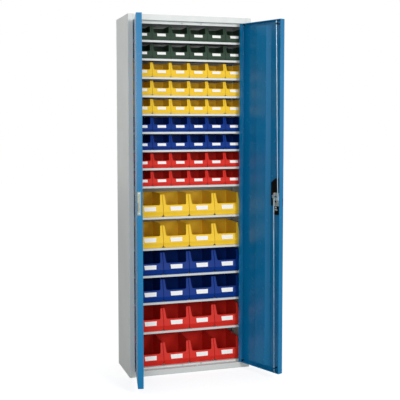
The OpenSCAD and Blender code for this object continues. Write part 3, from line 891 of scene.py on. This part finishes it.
# %% Locking rods and their guides
EYE_V, SLOT_HALF = (16, 21.5), 4.3
ROD_TIPS = {"upper": DOOR_Z[1] - 2, "lower": DOOR_Z[0] + 2}
GUIDE_FROM_TIP = 21


def guide_clip(u, z):
    """A foot on the door skin, a post, and a collar round the rod."""
    here = at("right", u, z)
    foot = slab(rectangle((-5, -3), (5, 3), 1.5), [(0, 1.2), (0, 2.2), (0.6, 2.8)], here)
    post = slab(rectangle((-2.5, -2.5), (2.5, 2.5), 0.8), [(0, 2.5), (0, 15.4)], here)
    radius = np.array([5.4, 5.4, 3.6, 3.6, 5.4])[:, None]
    height = np.array([-2.5, 2.5, 2.5, -2.5, -2.5])[:, None]
    collar = grid(here(radius * np.cos(ring_angles), height,
                       ROD_V + radius * np.sin(ring_angles)), ring=True)
    return [foot, post, collar]


guides = []
for name, way in (("upper", 1), ("lower", -1)):
    u, z = LOCK_U + way * PIN, LOCK_Z - way * PIN
    tip = ROD_TIPS[name]
    along = np.array([8, 14, 40, 60, 0, 0], float)
    full = abs(tip - z)
    along[4:] = full - 1.5, full
    part = along / full
    path = np.stack([u + (GUIDE_U - u) * part, np.full(6, ROD_V), z + way * along], axis=1)
    path[:2, 1] = (18.75, 18.9)
    halves = [(6.5, 2.4), (6.5, 2.5), (3.6, 2.9), (3, 3), (3, 3), (2.1, 2.1)]
    reach = PIN_R - PIN + SLOT_HALF
    slot = sorted((-way * SLOT_HALF, way * reach))
    edge = sorted((-way * (SLOT_HALF + 2.5), way * (reach + 2)))
    hole = rectangle((slot[0], -SLOT_HALF), (slot[1], SLOT_HALF), 4.2)
    outline = rectangle((edge[0], -9), (edge[1], 9), 5)
    eye = frame_block(outline, hole, *EYE_V, at("right", u, z))
    bar = rod(path, halves, on_door("right"))
    make_piece(name + "_rod_bar", [bar, eye], name + "_rod", zinc_rod, [name + "_rod"])
    guide_u = u + (GUIDE_U - u) * (1 - GUIDE_FROM_TIP / full)
    guides += guide_clip(guide_u, tip - way * GUIDE_FROM_TIP)
make_piece("rod_guide_clips", guides, "right_door", polyamide, ["rod_guides"])

# %% [markdown]
# ## The handle
# The lever is moulded in black polyamide. Its grip is a soft, nearly square section that narrows
# from the hub and swells again at the end, where the fingers pull.

# %% Lever and handle plate
def lever_place(a, b, c):
    """Turns a bar that was drawn along z, so that it lies along u towards the hinge."""
    return on_door("right")(LOCK_U - c, b, LOCK_Z + a)


reach = np.array([-11, -9, -2, 8, 20, 45, 70, 90, 101, 107, 109.0])
tall = np.array([5, 9, 12.4, 12.0, 9.4, 7.6, 7.8, 8.8, 8.6, 6.0, 2.5])
deep = np.array([3, 4.6, 5.9, 5.9, 5.2, 4.8, 4.9, 5.4, 5.2, 3.8, 1.6])
grip = rod(np.stack([0 * reach, np.full(len(reach), LEVER_V), reach], axis=1),
           np.stack([tall, deep], axis=1), lever_place, 24, 3.0)
hub = turned([(11.6, -3.4), (11.9, -4.2), (10.0, -9), (9.8, -15), (11.0, -20)], at_lock, 32)
make_piece("lever_grip", [grip, hub], "handle", polyamide, ["handle_lever"])

PLATE_R, CYLINDER_DROP = 17, 56
turn = np.linspace(0, np.pi, 13)
half_round = PLATE_R * lay(np.cos(turn), np.sin(turn), 0)[:, :2]
stadium = np.vstack([half_round, -half_round - [0, CYLINDER_DROP]])
back_plate = slab(stadium, [(0, -0.02), (0, -1.6), (0.5, -2.6), (1.6, -3)], at_lock)
make_piece("handle_back_plate", [back_plate], "right_door", polyamide,
           ["handle_plate"])

# %% Screws of the strike plate
STRIKE_FACE, STRIKE_V = DOOR_W + 0.8, 11


def on_strike(z):
    """Places a screw on the free edge of the left door, rising along u."""
    return lambda a, b, height: on_door("left")(STRIKE_FACE + height, STRIKE_V + a, z + b)


strike_screws = [screw(on_strike(z), 3.0, 1.2) for z in (942, 1043)]
make_piece("strike_screws", strike_screws, "left_door", zinc_rod)

# %% [markdown]
# ## Finishes for the CAD's own solids
# Some solids already have the right shape: the slotted rails, the clips, the pins, the buffers, the
# bushes, the strike plate and the lock cylinder. They stay, and only their material changes.

# %% Finishes of kept solids
kept = {
    "shelf_rails": galvanised_strip, "shelf_clips": zinc_rod, "hinge_pins": zinc_rod,
    "door_buffers": rubber, "left_door_bushes": polyamide, "right_door_bushes": polyamide,
    "strike_plate": zinc_olive, "lock_cylinder": zinc_cast,
}
for node, finish in kept.items():
    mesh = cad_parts[node].data
    mesh.materials.clear()
    mesh.materials.append(finish)
print("kept solids:", len(kept))

# %% [markdown]
# ## Floor and light
# The photograph has a white studio background. The floor is a mid grey, so it throws little light
# up at the cabinet, and it takes the cabinet's shadow. A glow that only the camera sees lifts it
# to white. The camera and the reflections see the surroundings at full white, while the world's
# own light is weaker, so the object isn't washed out. Two large soft lamps stand in front.

# %% Floor
FLOOR_R, FLOOR_SIDES, FLOOR_DROP = 14.0, 64, 0.0005
FLOOR_GREY, FLOOR_GLOW = 0.55, 0.68
floor_ring = np.arange(FLOOR_SIDES) / FLOOR_SIDES * 2 * np.pi
floor_disc = bpy.data.meshes.new("studio_floor")
floor_points = lay(FLOOR_R * np.cos(floor_ring), FLOOR_R * np.sin(floor_ring), -FLOOR_DROP)
floor_disc.from_pydata(floor_points.tolist(), [], [list(range(FLOOR_SIDES))])
studio_floor = bpy.data.objects.new("studio_floor", floor_disc)
bpy.context.scene.collection.objects.link(studio_floor)

floor_paint = bpy.data.materials.new("white_studio_floor")
floor_paint.use_nodes = True
tree = floor_paint.node_tree
tree.nodes.clear()
diffuse = add_node(tree, "ShaderNodeBsdfDiffuse", inputs={"Color": (*[FLOOR_GREY] * 3, 1)})
path = add_node(tree, "ShaderNodeLightPath")
glow = add_node(tree, "ShaderNodeEmission", inputs={"Color": (1, 1, 1, 1), "Strength": FLOOR_GLOW})
lit = add_node(tree, "ShaderNodeAddShader", inputs={0: diffuse.outputs[0], 1: glow.outputs[0]})
seen = add_node(tree, "ShaderNodeMixShader", inputs={
    0: path.outputs["Is Camera Ray"], 1: diffuse.outputs[0], 2: lit.outputs[0]})
add_node(tree, "ShaderNodeOutputMaterial", inputs={"Surface": seen.outputs[0]})
floor_disc.materials.append(floor_paint)

# %% World
AMBIENT = 0.6
scene = bpy.context.scene
world = scene.world or bpy.data.worlds.new("studio")
scene.world = world
world.use_nodes = True
tree = world.node_tree
tree.nodes.clear()
path = add_node(tree, "ShaderNodeLightPath")
clear = path.outputs["Is Camera Ray"]
for ray in ("Is Glossy Ray", "Is Transmission Ray"):
    either = {0: clear, 1: path.outputs[ray]}
    clear = add_node(tree, "ShaderNodeMath", {"operation": "MAXIMUM"}, either).outputs[0]
strength = add_node(tree, "ShaderNodeMapRange",
                    inputs={"Value": clear, "To Min": AMBIENT, "To Max": 1.0})
studio = add_node(tree, "ShaderNodeBackground",
                  inputs={"Color": (1, 1, 1, 1), "Strength": strength.outputs[0]})
add_node(tree, "ShaderNodeOutputWorld", inputs={"Surface": studio.outputs[0]})
scene.view_settings.view_transform = "Standard"

# %% Lamps
def soft_lamp(name, place, target, width, height, watts):
    """A rectangular lamp. A lamp shines along its own -Z, so -Z is turned to the target."""
    data = bpy.data.lights.new(name, "AREA")
    data.shape = "RECTANGLE"
    data.size, data.size_y = width, height
    data.energy = watts
    lamp = bpy.data.objects.new(name, data)
    lamp.location = place
    lamp.rotation_euler = (Vector(target) - Vector(place)).to_track_quat("-Z", "Y").to_euler()
    scene.collection.objects.link(lamp)


MIDDLE = (0, -0.1, 1.1)
soft_lamp("key_lamp", (1.5, -5.0, 2.3), MIDDLE, 1.4, 1.4, 104)
soft_lamp("fill_lamp", (-2.0, -5.0, 1.7), MIDDLE, 1.2, 1.2, 58)
